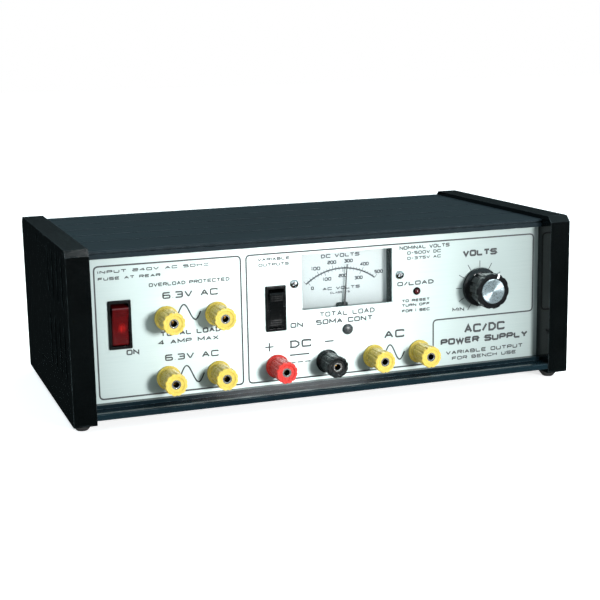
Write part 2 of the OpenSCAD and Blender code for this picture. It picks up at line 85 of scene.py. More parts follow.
class Finish:
    """A Principled material whose colour, roughness and normal come from noise in object space."""

    def __init__(self, name):
        self.m = bpy.data.materials.new(name)
        self.m.use_nodes = True
        self.tree = self.m.node_tree
        self.bsdf = next(n for n in self.tree.nodes if n.type == "BSDF_PRINCIPLED")
        self.where = self.add("ShaderNodeTexCoord").outputs["Object"]
        self.normal = None

    def add(self, kind, **values):
        n = self.tree.nodes.new(kind)
        for k, v in values.items():
            setattr(n, k, v)
        return n

    def link(self, a, b):
        self.tree.links.new(a, b)

    def set(self, **values):
        for k, v in values.items():
            self.bsdf.inputs[k.replace("_", " ")].default_value = v
        return self

    def space(self, stretch):
        if stretch == (1, 1, 1):
            return self.where
        n = self.add("ShaderNodeMapping")
        n.inputs["Scale"].default_value = stretch
        self.link(self.where, n.inputs["Vector"])
        return n.outputs["Vector"]

    def noise(self, scale, stretch=(1, 1, 1), detail=3.0, rough=0.55):
        n = self.add("ShaderNodeTexNoise")
        n.inputs["Scale"].default_value = scale
        n.inputs["Detail"].default_value = detail
        n.inputs["Roughness"].default_value = rough
        self.link(self.space(stretch), n.inputs["Vector"])
        return n.outputs["Fac"]

    def span(self, fac, lo, hi, a=0.3, b=0.7):
        n = self.add("ShaderNodeMapRange")
        for k, v in (("From Min", a), ("From Max", b), ("To Min", lo), ("To Max", hi)):
            n.inputs[k].default_value = v
        self.link(fac, n.inputs["Value"])
        return n.outputs["Result"]

    def ramp(self, fac, *stops):
        n = self.add("ShaderNodeValToRGB")
        r = n.color_ramp
        while len(r.elements) < len(stops):
            r.elements.new(0.5)
        for e, (at, colour) in zip(r.elements, stops):
            e.position, e.color = at, (*colour, 1)
        self.link(fac, n.inputs["Fac"])
        return n.outputs["Color"]

    def mix(self, fac, a, b):
        n = self.add("ShaderNodeMix", data_type="RGBA")
        self.link(fac, n.inputs[0])
        self.link(a, n.inputs[6])
        if hasattr(b, "type"):
            self.link(b, n.inputs[7])
        else:
            n.inputs[7].default_value = (*b, 1)
        return n.outputs[2]

    def math(self, op, a, b=None):
        n = self.add("ShaderNodeMath", operation=op)
        for i, v in enumerate((a, b)):
            if v is None:
                continue
            if hasattr(v, "type"):
                self.link(v, n.inputs[i])
            else:
                n.inputs[i].default_value = v
        return n.outputs[0]

    def bump(self, height, distance):
        n = self.add("ShaderNodeBump")
        n.inputs["Strength"].default_value = 1.0
        n.inputs["Distance"].default_value = distance
        self.link(height, n.inputs["Height"])
        if self.normal is not None:
            self.link(self.normal, n.inputs["Normal"])
        self.normal = n.outputs["Normal"]
        return self

    def edges(self, radius):
        """1 along the edges of the mesh and 0 on its flats."""
        bevel, geo = self.add("ShaderNodeBevel", samples=4), self.add("ShaderNodeNewGeometry")
        bevel.inputs["Radius"].default_value = radius
        dot = self.add("ShaderNodeVectorMath", operation="DOT_PRODUCT")
        self.link(bevel.outputs["Normal"], dot.inputs[0])
        self.link(geo.outputs["Normal"], dot.inputs[1])
        return self.span(dot.outputs["Value"], 1, 0, 0.82, 0.99)

    def done(self, colour, roughness):
        self.link(colour, self.bsdf.inputs["Base Color"])
        self.link(roughness, self.bsdf.inputs["Roughness"])
        if self.normal is not None:
            self.link(self.normal, self.bsdf.inputs["Normal"])
        return self.m


ALONG_Y = (1, 0.05, 1)  # noise drawn out along y


def shade(colour, factor):
    return tuple(min(1, v * factor) for v in colour)


def finish(name, colour, rough, vary=0.12, scale=60, grain=2500, grain_height=4e-6,
           worn=None, wear=0.35, **values):
    """The common finish: mottled colour, uneven gloss, a fine grain, and edges rubbed towards worn."""
    f = Finish(name).set(**values)
    tint = f.ramp(f.noise(scale), (0.3, shade(colour, 1 - vary)), (0.7, shade(colour, 1 + vary)))
    if worn is not None:
        rub = f.math("MULTIPLY", f.edges(0.0006), f.span(f.noise(260), 0, wear, 0.35, 0.65))
        tint = f.mix(rub, tint, worn)
    f.bump(f.noise(grain, detail=2), grain_height)
    return f.done(tint, f.span(f.noise(scale * 3.7), *rough))


def cover_finish(name="cover_anodised", rough=(0.50, 0.62), gloss=0.10):
    """Black anodised extrusion, with die lines along its length and rubbed edges."""
    f = Finish(name).set(Specular_IOR_Level=gloss)
    lines = f.noise(1400, (0.02, 1, 1), detail=2)
    tint = f.ramp(f.noise(14, (0.4, 1, 1)),
                  (0.3, (0.0040, 0.0095, 0.0130)), (0.7, (0.0062, 0.0145, 0.0190)))
    rub = f.math("MULTIPLY", f.edges(0.0005), f.span(f.noise(300), 0.05, 0.6, 0.35, 0.65))
    f.bump(lines, 6e-6).bump(f.noise(5200, detail=1), 3e-6)
    return f.done(f.mix(rub, tint, (0.13, 0.17, 0.19)), f.span(lines, *rough))


def cheek_finish():
    """Glossy black moulding, finely scuffed, with its edges painted lighter: partly wear, partly a painted
    highlight.
    """
    f = Finish("cheek_plastic").set(Specular_IOR_Level=0.3)
    tint = f.ramp(f.noise(30), (0.3, (0.0008, 0.0012, 0.0013)), (0.7, (0.0018, 0.0026, 0.0027)))
    scuff = f.noise(900, (1, 0.06, 1), detail=2)
    # lighter edges: part wear, part painted highlight along the cheek's edges
    rub = f.math("MULTIPLY", f.edges(0.0007), f.span(f.noise(220), 0.05, 0.55, 0.4, 0.7))
    f.bump(f.noise(420, detail=4), 5e-6)
    return f.done(f.mix(rub, tint, (0.09, 0.12, 0.13)), f.span(scuff, 0.08, 0.16))


def panel_finish():
    """Satin anodised aluminium, brushed along its length, so highlights spread across the brushing."""
    colour = (0.350, 0.412, 0.402)
    f = Finish("panel_front").set(Metallic=0.65, Specular_IOR_Level=0.5, Anisotropic=0.8)
    across = f.add("ShaderNodeCombineXYZ")
    across.inputs["Z"].default_value = 1.0
    f.link(across.outputs[0], f.bsdf.inputs["Tangent"])
    lines = f.noise(2600, (0.012, 1, 1), detail=3)
    cloud = f.ramp(f.noise(11), (0.3, shade(colour, 0.975)), (0.7, shade(colour, 1.02)))
    tint = f.mix(f.span(lines, 0, 0.22), cloud, shade(colour, 0.86))
    rub = f.math("MULTIPLY", f.edges(0.0003), f.span(f.noise(400), 0.1, 0.7))
    f.bump(lines, 2e-6)
    return f.done(f.mix(rub, tint, (0.9, 0.93, 0.93)), f.span(lines, 0.42, 0.52))


def post_finish(name, colour, deep, **values):
    """Glossy moulded plastic with darker patches at random."""
    f = Finish(name).set(Specular_IOR_Level=0.4, Coat_Weight=0.15, Coat_Roughness=0.12, **values)
    tint = f.ramp(f.noise(170), (0.28, shade(colour, 0.93)), (0.72, shade(colour, 1.05)))
    dirt = f.span(f.noise(520, detail=4), 0, 0.14, 0.5, 0.75)
    f.bump(f.noise(1300, detail=3), 8e-6)
    return f.done(f.mix(dirt, tint, deep), f.span(f.noise(700), 0.22, 0.38))


def metal(name, colour, rough, stretch=(1, 1, 1)):
    """Plated or turned metal: fine marks, drawn out as stretch says, and a cloudy polish."""
    f = Finish(name).set(Metallic=1.0)
    marks = f.noise(3000, stretch, detail=2)
    tint = f.ramp(f.noise(380), (0.3, shade(colour, 0.86)), (0.7, shade(colour, 1.06)))
    f.bump(marks, 3e-6)
    return f.done(tint, f.span(marks, *rough))


def spun_cap():
    """A spun aluminium disc: rings about its centre, and highlights drawn out across them."""
    f = Finish("knob_spun").set(Metallic=0.6, Anisotropic=0.92)
    c = middle("knob_cap")
    shift = f.add("ShaderNodeVectorMath", operation="SUBTRACT")
    shift.inputs[1].default_value = c
    f.link(f.where, shift.inputs[0])
    parts = f.add("ShaderNodeSeparateXYZ")
    f.link(shift.outputs[0], parts.inputs[0])
    x2, z2 = (f.math("MULTIPLY", parts.outputs[i], parts.outputs[i]) for i in ("X", "Z"))
    per_metre = 42000.0  # radians of ripple
    ring = f.math("SINE", f.math("MULTIPLY", f.math("SQRT", f.math("ADD", x2, z2)), per_metre))
    tint = f.ramp(f.noise(500), (0.3, (0.21, 0.26, 0.28)), (0.7, (0.27, 0.33, 0.35)))
    tangent = f.add("ShaderNodeTangent", direction_type="RADIAL", axis="Y")
    f.link(tangent.outputs[0], f.bsdf.inputs["Tangent"])
    f.bump(ring, 1.5e-6)
    return f.done(tint, f.span(f.noise(1200), 0.24, 0.34))


def socket_ring():
    """A plated ring whose bore is dull, with painted shade: its colour goes dark a little way in."""
    f = Finish("insert_nickel").set(Metallic=0.9)
    axes = f.add("ShaderNodeSeparateXYZ")
    f.link(f.where, axes.inputs[0])
    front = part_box("insert_1")[0].y
    bright_to, dark_from = 0.0002, 0.0011  # metres behind the front of the ring
    # painted shade: between bright_to and dark_from behind the front, the bore's colour fades to near black
    bore_shade = f.span(axes.outputs["Y"], 0, 1, front + bright_to, front + dark_from)
    marks = f.noise(3000, ALONG_Y, detail=2)
    tint = f.mix(bore_shade, f.ramp(f.noise(380), (0.3, (0.56, 0.55, 0.52)), (0.7, (0.74, 0.73, 0.70))),
                 (0.006, 0.005, 0.004))
    f.bump(marks, 3e-6)
    return f.done(tint, f.math("MAXIMUM", f.span(marks, 0.14, 0.26), f.math("MULTIPLY", bore_shade, 0.7)))


def glow_red(name, node):
    """Translucent red moulding with painted shade along its side margins, for the shadow gap beside the
    bezel, lit from inside low and right of its middle.
    """
    f = Finish(name).set(Specular_IOR_Level=0.6, Coat_Weight=0.6, Coat_Roughness=0.06,
                         Emission_Color=(1.0, 0.03, 0.02, 1))
    hot_x, hot_z = 0.60, 0.42  # shares of the width and the height
    core, reach = 0.0004, 0.0052  # metres from the hot spot: full glow, and none
    lo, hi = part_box(node)
    hot = Vector((lo.x + hot_x * (hi.x - lo.x), lo.y, lo.z + hot_z * (hi.z - lo.z)))
    dist = f.add("ShaderNodeVectorMath", operation="DISTANCE")
    dist.inputs[1].default_value = hot
    f.link(f.where, dist.inputs[0])
    ribs = f.noise(900, (1, 1, 0.15), detail=1)
    near = f.math("MULTIPLY", f.span(dist.outputs["Value"], 1, 0, core, reach), f.span(ribs, 0.7, 1.0))
    f.link(f.math("MULTIPLY", f.math("POWER", near, 2.5), 5.0), f.bsdf.inputs["Emission Strength"])
    tint = f.ramp(f.noise(240), (0.3, (0.050, 0.0012, 0.002)), (0.7, (0.075, 0.002, 0.0025)))
    axes = f.add("ShaderNodeSeparateXYZ")
    f.link(f.where, axes.inputs[0])
    # painted shade: the red darkens to near black towards its left and right margins, for the shadow gap
    # beside the bezel
    off = f.math("ABSOLUTE", f.math("SUBTRACT", axes.outputs["X"], (lo.x + hi.x) / 2))
    half = (hi.x - lo.x) / 2
    tint = f.mix(f.span(off, 0, 0.92, 0.74 * half, 0.88 * half), tint, (0.003, 0.0004, 0.0005))
    f.bump(f.noise(800), 5e-6)
    return f.done(tint, f.span(f.noise(500), 0.10, 0.2))


def glass():
    """A clear window with a trace of haze."""
    f = Finish("meter_glass").set(Alpha=0.06, Specular_IOR_Level=0.5)
    tint = f.ramp(f.noise(40), (0.3, (0.10, 0.13, 0.13)), (0.7, (0.16, 0.19, 0.19)))
    f.bump(f.noise(90), 4e-6)
    return f.done(tint, f.span(f.noise(700, detail=4), 0.02, 0.07))


def board():
    """Solder-masked board: tracks under a green lacquer."""
    f = Finish("board_green").set(Coat_Weight=0.4, Coat_Roughness=0.2)
    tracks = f.span(f.noise(260, (1, 0.25, 1), detail=0), 0, 1, 0.49, 0.51)
    tint = f.mix(tracks, f.ramp(f.noise(90), (0.3, (0.012, 0.10, 0.035)), (0.7, (0.018, 0.13, 0.045))),
                 (0.05, 0.24, 0.09))
    f.bump(tracks, 2e-5)
    return f.done(tint, f.span(f.noise(600), 0.3, 0.45))


def winding():
    """Enamelled copper wire, wound side by side."""
    f = Finish("winding_copper").set(Metallic=0.8)
    turns = f.noise(1500, (1, 0.08, 1), detail=1)
    tint = f.ramp(turns, (0.3, (0.30, 0.10, 0.04)), (0.7, (0.62, 0.26, 0.11)))
    f.bump(turns, 6e-5)
    return f.done(tint, f.span(f.noise(500), 0.28, 0.45))


def laminations():
    """Stacked steel plates."""
    f = Finish("core_steel").set(Metallic=0.85)
    plates = f.noise(2400, (0.01, 1, 0.01), detail=1)
    tint = f.ramp(plates, (0.3, (0.09, 0.09, 0.10)), (0.7, (0.24, 0.24, 0.25)))
    f.bump(plates, 4e-5)
    return f.done(tint, f.span(f.noise(300), 0.38, 0.6))


YELLOW, RED = (0.50, 0.375, 0.062), (0.47, 0.022, 0.016)
MATERIALS = {
    "cover_anodised": cover_finish(),
    "cheek_plastic": cheek_finish(),
    "panel_front": panel_finish(),
    "panel_rear": finish("panel_rear", (0.012, 0.0135, 0.015), (0.42, 0.58), 0.15, 40,
                         grain=1500, grain_height=3e-5, worn=(0.12, 0.13, 0.13)),
    "screw_bright": metal("screw_bright", (0.78, 0.79, 0.80), (0.12, 0.24), ALONG_Y),
    "foot_rubber": finish("foot_rubber", (0.016, 0.016, 0.016), (0.7, 0.9), 0.25,
                          grain=1800, grain_height=2e-5),
    "chassis_zinc": metal("chassis_zinc", (0.60, 0.62, 0.63), (0.3, 0.5)),
    "switch_black": finish("switch_black", (0.0025, 0.003, 0.0032), (0.18, 0.28), 0.2, 120,
                           worn=(0.06, 0.065, 0.065), Specular_IOR_Level=0.2),
    "rocker_red": glow_red("rocker_red", "mains_rocker"),
    "contact_brass": metal("contact_brass", (0.80, 0.60, 0.30), (0.22, 0.38)),
    "meter_black": finish("meter_black", (0.006, 0.013, 0.013), (0.6, 0.75), 0.2, 90,
                          worn=(0.1, 0.12, 0.12), Specular_IOR_Level=0.15),
    "dial_white": finish("dial_white", (0.49, 0.54, 0.54), (0.42, 0.56), 0.02, 35,
                         grain=4000, grain_height=2e-6),
    "needle_black": finish("needle_black", (0.008, 0.009, 0.011), (0.35, 0.5), 0.3, 500),
    "meter_glass": glass(),
    "zero_grey": finish("zero_grey", (0.040, 0.045, 0.047), (0.22, 0.36), 0.1, 500, worn=(0.5, 0.5, 0.5)),
    "lamp_red": finish("lamp_red", (0.055, 0.006, 0.008), (0.08, 0.18), 0.2, 900, Coat_Weight=0.5,
                       Coat_Roughness=0.05),
    "knob_black": finish("knob_black", (0.005, 0.0055, 0.006), (0.1, 0.2), 0.2, 200,
                         worn=(0.10, 0.11, 0.11), wear=0.25, Specular_IOR_Level=0.6),
    "knob_spun": spun_cap(),
    "shaft_steel": metal("shaft_steel", (0.62, 0.62, 0.63), (0.2, 0.35), ALONG_Y),
    "brass_parts": metal("brass_parts", (0.78, 0.57, 0.27), (0.22, 0.4)),
    "winding_copper": winding(),
    "variac_grey": finish("variac_grey", (0.12, 0.12, 0.125), (0.5, 0.7), 0.15,
                          grain=900, grain_height=3e-5),
    "stud_brass": metal("stud_brass", (0.80, 0.60, 0.30), (0.2, 0.35), ALONG_Y),
    "nut_steel": metal("nut_steel", (0.66, 0.67, 0.68), (0.22, 0.38)),
    "post_yellow": post_finish("post_yellow", YELLOW, (0.30, 0.15, 0.02), Subsurface_Weight=0.12,
                               Subsurface_Radius=(0.003, 0.002, 0.0006), Subsurface_Scale=1.0),
    "post_red": post_finish("post_red", RED, (0.26, 0.01, 0.01), Subsurface_Weight=0.08,
                            Subsurface_Radius=(0.003, 0.0005, 0.0004), Subsurface_Scale=1.0),
    "post_black": post_finish("post_black", (0.0022, 0.004, 0.0042), (0.006, 0.009, 0.009)),
    "insert_nickel": socket_ring(),
    "core_steel": laminations(),
    "board_green": board(),
    "can_blue": finish("can_blue", (0.02, 0.05, 0.20), (0.25, 0.4), 0.15, Coat_Weight=0.4),
    "inlet_black": finish("inlet_black", (0.014, 0.014, 0.015), (0.35, 0.5), 0.2, worn=(0.1, 0.1, 0.1)),
    "drawer_black": finish("drawer_black", (0.018, 0.018, 0.019), (0.4, 0.55), 0.2, worn=(0.1, 0.1, 0.1)),
}
for node, obj in nodes.items():
    if NODE_SLOT[node] in MATERIALS:
        obj.material_slots[0].material = MATERIALS[NODE_SLOT[node]]


# ---------------------------------------------- pieces with rounded edges

def mesh_object(name, bm):
    mesh = bpy.data.meshes.new(name)
    bm.to_mesh(mesh)
    bm.free()
    if "custom_normal" in mesh.attributes:
        mesh.attributes.remove(mesh.attributes["custom_normal"])
    obj = bpy.data.objects.new(name, mesh)
    scene.collection.objects.link(obj)
    return obj


SHARPER_THAN = radians(32)  # an edge with a larger angle than this is rounded
FLATTER_THAN = radians(0.6)  # faces that meet at less than this are joined first


def refine(node, width):
    """A copy of a node with its hard edges rounded by width millimetres, which stands for that node."""
    bm = bmesh.new()
    bm.from_mesh(nodes[node].data)
    bmesh.ops.scale(bm, vec=(1000, 1000, 1000), verts=bm.verts)
    bmesh.ops.remove_doubles(bm, verts=bm.verts, dist=0.002)
    bmesh.ops.dissolve_limit(bm, angle_limit=FLATTER_THAN, verts=bm.verts, edges=bm.edges)
    obj = mesh_object(node + "_rounded", bm)
    for poly in obj.data.polygons:
        poly.use_smooth = True
    mod = obj.modifiers.new("round", "BEVEL")
    mod.width, mod.segments = width, 2
    mod.limit_method, mod.angle_limit = "ANGLE", SHARPER_THAN
    mod.harden_normals = mod.use_clamp_overlap = True
    done = bpy.data.meshes.new_from_object(obj.evaluated_get(bpy.context.evaluated_depsgraph_get()))
    obj.modifiers.clear()
    obj.data = done
    done.transform(Matrix.Scale(0.001, 4))
    done.materials.clear()
    done.materials.append(MATERIALS[NODE_SLOT[node]])
    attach(obj, nodes[node]["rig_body"])
    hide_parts(node)


ROUNDING = {  # millimetres
    "top_cover": 0.25, "bottom_cover": 0.25, "left_cheek": 0.6, "right_cheek": 0.6, "front_panel": 0.12,
    "rear_panel": 0.12, "mains_switch_body": 0.25, "output_switch_body": 0.25, "mains_rocker": 0.3,
    "output_rocker": 0.3, "meter_case": 0.25, "feet": 0.4, "inlet_body": 0.3, "fuse_drawer": 0.3,
    "knob_body": 0.2, "knob_cap": 0.1, "lamp_bezel": 0.12, "panel_screws": 0.08, "cheek_screws": 0.12,
    "zero_screw": 0.15, "yellow_collars": 0.2, "red_collar": 0.2, "black_collar": 0.2,
}
HEADS = [f"yellow_head_{i}" for i in range(1, 7)] + ["red_head", "black_head"]
HEAD_ROUNDING = 0.25
for node, width in ROUNDING.items():
    refine(node, width)
for node in HEADS:
    refine(node, HEAD_ROUNDING)
scene.objects["bottom_cover_rounded"].data.materials[0] = cover_finish("cover_polished", (0.07, 0.14), 0.13)


# ----------------------------------------------------------- printed graphics

A = {  # each character's strokes in a unit box
    "A": [[(0, 0), (.5, 1), (1, 0)], [(.2, .35), (.8, .35)]],
    "B": [[(0, .52), (0, 1), (.92, 1), (.92, .52), (0, .52)],
          [(0, .52), (0, 0), (1, 0), (1, .52), (.9, .52)]],
    "C": [[(1, .78), (1, 1), (0, 1), (0, 0), (1, 0), (1, .22)]],
    "D": [[(-.07, 1), (.62, 1), (1, .7), (1, .3), (.62, 0), (-.07, 0)], [(.06, 0), (.06, 1)]],
    "E": [[(1, 1), (0, 1), (0, 0), (1, 0)], [(0, .52), (.9, .52)]],
    "F": [[(1, 1), (0, 1), (0, 0)], [(0, .52), (.9, .52)]],
    "H": [[(0, 0), (0, 1)], [(1, 0), (1, 1)], [(0, .5), (1, .5)]],
    "I": [[(0, 0), (0, 1)]],
    "L": [[(0, 1), (0, 0), (1, 0)]],
    "M": [[(0, 0), (0, 1), (.5, .25), (1, 1), (1, 0)]],
    "N": [[(0, 0), (0, 1), (1, 0), (1, 1)]],
    "O": [[(0, 0), (0, 1), (1, 1), (1, 0), (0, 0)]],
    "P": [[(0, 0), (0, 1), (1, 1), (1, .45), (0, .45)]],
    "R": [[(0, 0), (0, 1), (1, 1), (1, .48), (0, .48)], [(.6, .48), (1, 0)]],
    "S": [[(1, .8), (1, 1), (0, 1), (0, .52), (1, .52), (1, 0), (0, 0), (0, .2)]],
    "T": [[(0, 1), (1, 1)], [(.5, 1), (.5, 0)]],
    "U": [[(0, 1), (0, 0), (1, 0), (1, 1)]],
    "V": [[(0, 1), (.5, 0), (1, 1)]],
    "W": [[(0, 1), (.25, 0), (.5, .8), (.75, 0), (1, 1)]],
    "X": [[(0, 1), (1, 0)], [(0, 0), (1, 1)]],
    "Y": [[(0, 1), (.5, .45), (1, 1)], [(.5, .45), (.5, 0)]],
    "Z": [[(0, 1), (1, 1), (0, 0), (1, 0)]],
    "0": [[(0, 0), (0, 1), (1, 1), (1, 0), (0, 0)]],
    "1": [[(0, .8), (.3, 1), (.3, 0)]],
    "2": [[(0, 1), (1, 1), (1, .52), (0, .52), (0, 0), (1, 0)]],
    "3": [[(0, 1), (1, 1), (1, 0), (0, 0)], [(.25, .52), (1, .52)]],
    "4": [[(.75, 0), (.75, 1), (0, .3), (1, .3)]],
    "5": [[(1, 1), (0, 1), (0, .55), (1, .55), (1, 0), (0, 0)]],
    "6": [[(1, 1), (0, 1), (0, 0), (1, 0), (1, .52), (0, .52)]],
    "7": [[(0, 1), (1, 1), (.4, 0)]],
    ".": [[(0, 0), (0, .06)]],
    "/": [[(0, 0), (1, 1)]],
    "-": [[(0, .5), (1, .5)]],
}
WIDTHS = {"I": 0.0, "1": 0.3, ".": 0.0, "/": 0.6, "M": 1.2, "W": 1.3, " ": 0.55, "-": 0.6}


def rounded(points, radius):
    """The polyline with each corner of about a right angle turned into a short arc."""
    pts = [Vector(p) for p in points]
    closed = len(pts) > 3 and (pts[0] - pts[-1]).length < 1e-6
    if closed:
        pts = pts[:-1]
    out, n = [], len(pts)
    for i, p in enumerate(pts):
        if not closed and i in (0, n - 1):
            out.append(p)
            continue
        a, b = pts[i - 1] - p, pts[(i + 1) % n] - p
        r = min(radius, a.length / 2, b.length / 2)
        if r < 0.02 or abs(a.normalized().dot(b.normalized())) > 0.45:
            out.append(p)
            continue
        s, e = p + a.normalized() * r, p + b.normalized() * r
        out += [s * (1 - t) ** 2 + p * 2 * t * (1 - t) + e * t ** 2 for t in (0, 0.25, 0.5, 0.75, 1)]
    return out, closed


class Print:
    """Thin closed ribbons of ink, just proud of a plane of constant y, drawn in case-frame x and z."""
    PROUD, SUNK = 0.05, 0.03

    def __init__(self, name, y, body, slot, material):
        self.bm, self.count, self.y = bmesh.new(), 0, y
        self.name, self.body, self.slot, self.material = name, body, slot, material

    def stroke(self, points, width, radius=0.0):
        pts, closed = rounded(points, radius)
        n = len(pts)
        if n < 2:
            return
        front = self.y - self.PROUD - 0.0015 * (self.count % 7)
        self.count += 1
        rows = []
        for i, p in enumerate(pts):
            before = p - pts[i - 1] if closed or i > 0 else None
            after = pts[(i + 1) % n] - p if closed or i < n - 1 else None
            d0 = (before or after).normalized()
            d1 = (after or before).normalized()
            mitre = (Vector((-d0.y, d0.x)) + Vector((-d1.y, d1.x)))
            mitre = mitre.normalized() if mitre.length > 1e-4 else Vector((-d0.y, d0.x))
            reach = width / 2 / max(0.45, mitre.dot(Vector((-d0.y, d0.x))))
            l, r = p + mitre * reach, p - mitre * reach
            rows.append([self.bm.verts.new(P(q.x, y, q.y)) for q, y in
                         ((l, front), (r, front), (r, self.y + self.SUNK), (l, self.y + self.SUNK))])
        for i in range(n if closed else n - 1):
            a, b = rows[i], rows[(i + 1) % n]
            for j in range(4):
                self.bm.faces.new((a[j], b[j], b[(j + 1) % 4], a[(j + 1) % 4]))
        if not closed:
            self.bm.faces.new(rows[0])
            self.bm.faces.new(rows[-1][::-1])

    def text(self, words, x0, x1, top, bottom, weight=0.16):
        """words from x0 to x1 between bottom and top; weight is the stroke's share of their height."""
        height = top - bottom
        pen = height * weight
        advance = [WIDTHS.get(c, 1.0) for c in words]
        gap = 0.42
        unit = (x1 - x0 - pen) / max(0.1, sum(advance) + gap * (len(words) - 1))
        x = x0 + pen / 2
        for c, w in zip(words, advance):
            for line in A.get(c, []):
                self.stroke([(x + u * w * unit, bottom + pen / 2 + v * (height - pen)) for u, v in line],
                            pen, height * 0.2)
            x += (w + gap) * unit

    def sine(self, x0, x1, z, amplitude):
        steps = 36
        self.stroke([(x0 + (x1 - x0) * i / steps, z + amplitude * sin(2 * pi * i / steps))
                     for i in range(steps + 1)], 0.95)

    def outline(self, corners, radius, width):
        """A closed line with rounded corners."""
        pts = []
        n = len(corners)
        for i, c in enumerate(corners):
            p, a, b = Vector(c), Vector(corners[i - 1]), Vector(corners[(i + 1) % n])
            s, e = p + (a - p).normalized() * radius, p + (b - p).normalized() * radius
            pts += [s * (1 - t) ** 2 + p * 2 * t * (1 - t) + e * t ** 2 for t in (0, .2, .4, .6, .8, 1)]
        self.stroke([tuple(p) for p in pts] + [tuple(pts[0])], width)

    def arc(self, cx, cz, radius, a0, a1, width):
        """Angles in degrees, clockwise from straight up."""
        steps = 48
        angles = [radians(a0 + (a1 - a0) * i / steps) for i in range(steps + 1)]
        self.stroke([(cx + radius * sin(a), cz + radius * cos(a)) for a in angles], width)

    def tick(self, cx, cz, angle, r0, r1, width):
        s, c = sin(radians(angle)), cos(radians(angle))
        self.stroke([(cx + r0 * s, cz + r0 * c), (cx + r1 * s, cz + r1 * c)], width)

    def done(self):
        bmesh.ops.recalc_face_normals(self.bm, faces=self.bm.faces)
        obj = mesh_object(self.name, self.bm)
        obj.data.materials.append(self.material)
        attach(obj, self.body)
        return obj


def ink_finish(name, colour):
    """Screen ink: slightly uneven cover over a soft gloss."""
    return finish(name, colour, (0.4, 0.62), 0.35, 700, grain=5000, grain_height=2e-6)


INK = ink_finish("panel_ink", (0.020, 0.022, 0.026))
ART = [  # words, x from, x to, top, bottom, weight
    ("INPUT 240V AC 50HZ", -150.7, -79.3, 93.8, 91.8, .275),
    ("FUSE AT REAR", -150.7, -111, 89.5, 87.5, .275),
    ("OVERLOAD PROTECTED", -118.8, -66, 83.5, 81.1, .253),
    ("6.3V AC", -110.4, -74, 77.1, 72.7, .22), ("TOTAL LOAD", -112.7, -72.7, 51.9, 48.6, .253),
    ("4 AMP MAX", -114.3, -74.3, 46.3, 43.3, .253), ("6.3V AC", -110.2, -74.7, 36.7, 32.5, .22),
    ("ON", -134.8, -126.6, 42.3, 38.8, .253), ("VARIABLE", -47, -25, 94, 91.9, .275),
    ("OUTPUTS", -46.4, -25.6, 90.4, 88.3, .275), ("ON", -25.4, -16.6, 49.5, 46.1, .253),
    ("TOTAL LOAD", -5, 34.6, 54.9, 51.5, .22), ("50MA CONT.", -7.5, 34.6, 49.9, 46.4, .253),
    ("DC", -26.2, -11, 37.8, 32.5, .22), ("AC", 41.3, 56.3, 38.1, 32.5, .22),
    ("NOMINAL VOLTS", 52.9, 90, 94.7, 92.1, .253), ("0-500V DC", 58.5, 83.5, 90.9, 88.6, .253),
    ("0-375V AC", 58.5, 83.5, 87.2, 85.1, .253), ("O/LOAD", 51.2, 78.2, 70.6, 67.6, .275),
    ("TO RESET", 54.5, 75.3, 58.2, 56.2, .297), ("TURN OFF", 54.5, 75.3, 55.1, 53.1, .297),
    ("FOR 1 SEC", 54.5, 75.3, 51.3, 49.2, .297), ("VOLTS", 100, 126.2, 88.6, 84.1, .297),
    ("MIN", 92.4, 101.4, 49.2, 46.6, .253), ("AC/DC", 101.5, 133, 36.7, 30.6, .242),
    ("POWER SUPPLY", 83.5, 151.3, 28.1, 23.5, .297),
    ("VARIABLE OUTPUT", 87.6, 147.5, 19.3, 16.5, .253),
    ("FOR BENCH USE", 92.2, 142.2, 14.9, 12.4, .253),
]
art = Print("panel_print", PANEL_Y, "case", "needle_black", INK)
for words, *where in ART:
    art.text(words, *where)
for x0, x1, z, amplitude in ((-100.4, -85.8, 63, 5.1), (-100.2, -84.7, 22.5, 5.7), (42.1, 56.3, 22.6, 5.3)):
    art.sine(x0, x1, z, amplitude)
art.outline([(-153, 11.9), (-153, 96.4), (-58.5, 96.4), (-58.5, 11.9)], 3, 1.0)
art.outline([(-54.7, 11.9), (-54.7, 96.4), (154.6, 96.4), (154.6, 42), (77.9, 42), (77.9, 11.9)], 3, 1.0)
art.stroke([(-43.1, 34.8), (-37.3, 34.8)], 0.85)
art.stroke([(-40.2, 31.9), (-40.2, 37.7)], 0.85)
art.stroke([(-1.5, 34.8), (4.8, 34.8)], 1.0)
art.stroke([(-26.2, 27.9), (-12.5, 27.9)], 1.0)
for i in range(3):
    art.stroke([(-26 + 5.2 * i, 22.8), (-22.3 + 5.2 * i, 22.8)], 0.7)
KNOB = middle("knob_cap")
KNOB_X, KNOB_Z = KNOB.x * 1000, (KNOB.z - CASE_Z) * 1000
for i in range(11):  # every 30 degrees from -150 to 150
    art.tick(KNOB_X, KNOB_Z, -150 + 30 * i, 13.6, 18.2, 0.5)
art.done()

